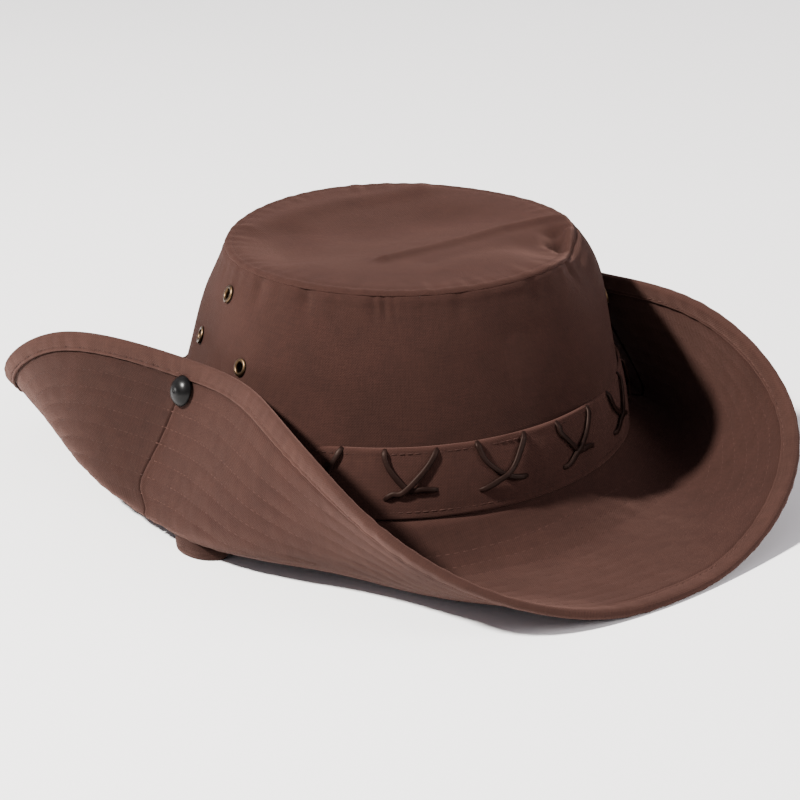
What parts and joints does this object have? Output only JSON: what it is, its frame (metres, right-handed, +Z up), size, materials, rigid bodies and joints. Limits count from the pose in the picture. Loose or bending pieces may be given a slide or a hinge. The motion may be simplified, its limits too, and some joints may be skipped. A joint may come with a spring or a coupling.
{
  "type": "bush hat",
  "caption": "Soft canvas bush hat with a fabric hat band, crossed leather lacing, vent eyelets and a wide brim whose two sides are snapped up against the crown.",
  "frame": {"origin": "middle of the hat's box at the floor it rests on", "axes": "+Z up, -Y the hat's front, +X to the right as seen from the front; the brim's folded-up sides are on +X and -X"},
  "size_m": [0.2498, 0.3756, 0.099],
  "materials": {
    "crown_canvas": "matt brown cotton canvas",
    "brim_canvas": "matt brown cotton canvas with rows of stitching",
    "binding_canvas": "matt brown canvas hem, a little lighter",
    "band_canvas": "matt brown cotton canvas",
    "lace_leather": "smooth dark brown thong",
    "eyelet_brass": "antique brass",
    "snap_metal": "dark gunmetal lacquer"
  },
  "bodies": {
    "root": {"brim": "brim_canvas", "brim_binding": "binding_canvas", "crown_side": "crown_canvas", "crown_top": "crown_canvas", "hat_band": "band_canvas", "keeper_loop": "brim_canvas", "lace_cross_01": "lace_leather", "lace_cross_02": "lace_leather", "lace_cross_03": "lace_leather", "lace_cross_04": "lace_leather", "lace_cross_05": "lace_leather", "lace_cross_06": "lace_leather", "lace_cross_07": "lace_leather", "lace_cross_08": "lace_leather", "lace_cross_09": "lace_leather", "lace_cross_10": "lace_leather", "lace_cross_11": "lace_leather", "lace_cross_12": "lace_leather", "lace_cross_13": "lace_leather", "lace_cross_14": "lace_leather", "lace_cross_15": "lace_leather", "lace_cross_16": "lace_leather", "snap_cap_left": "snap_metal", "snap_cap_right": "snap_metal", "snap_stud_left": "snap_metal", "snap_stud_right": "snap_metal", "vent_eyelet_left_a": "eyelet_brass", "vent_eyelet_left_b": "eyelet_brass", "vent_eyelet_left_top": "eyelet_brass", "vent_eyelet_right_a": "eyelet_brass", "vent_eyelet_right_b": "eyelet_brass", "vent_eyelet_right_top": "eyelet_brass"}
  },
  "joints": []
}
